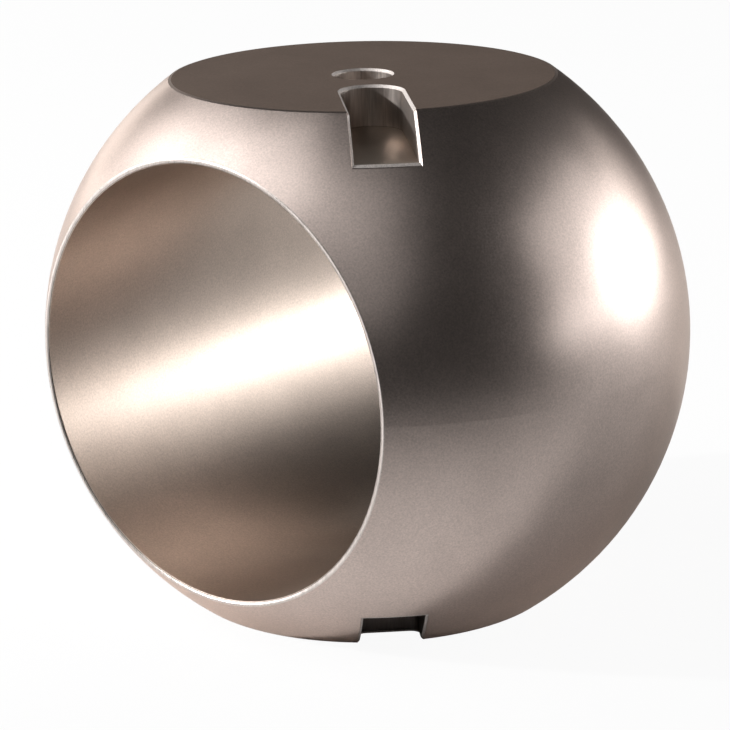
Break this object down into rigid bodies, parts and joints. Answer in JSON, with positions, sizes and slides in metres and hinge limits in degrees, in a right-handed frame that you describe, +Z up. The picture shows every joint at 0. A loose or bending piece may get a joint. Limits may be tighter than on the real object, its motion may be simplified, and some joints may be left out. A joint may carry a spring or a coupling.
{
  "type": "valve ball",
  "caption": "Full-bore ball for a quarter-turn ball valve, in one piece, with two milled flats, a drive slot, a locating notch and a centring hole.",
  "frame": {"origin": "centre of the sphere, midway between the two flats and midway along the bore", "axes": "+Z up along the stem axis, out of the flat with the drive slot; the bore along Y, with the mouth that the picture shows at -Y; +X across the bore, so the drive slot runs outwards between +X and -Y"},
  "size_m": [0.152, 0.1124, 0.123],
  "materials": {
    "ball_steel": "fine satin, as blasted"
  },
  "bodies": {
    "root": {"valve_ball": "ball_steel"}
  },
  "joints": []
}
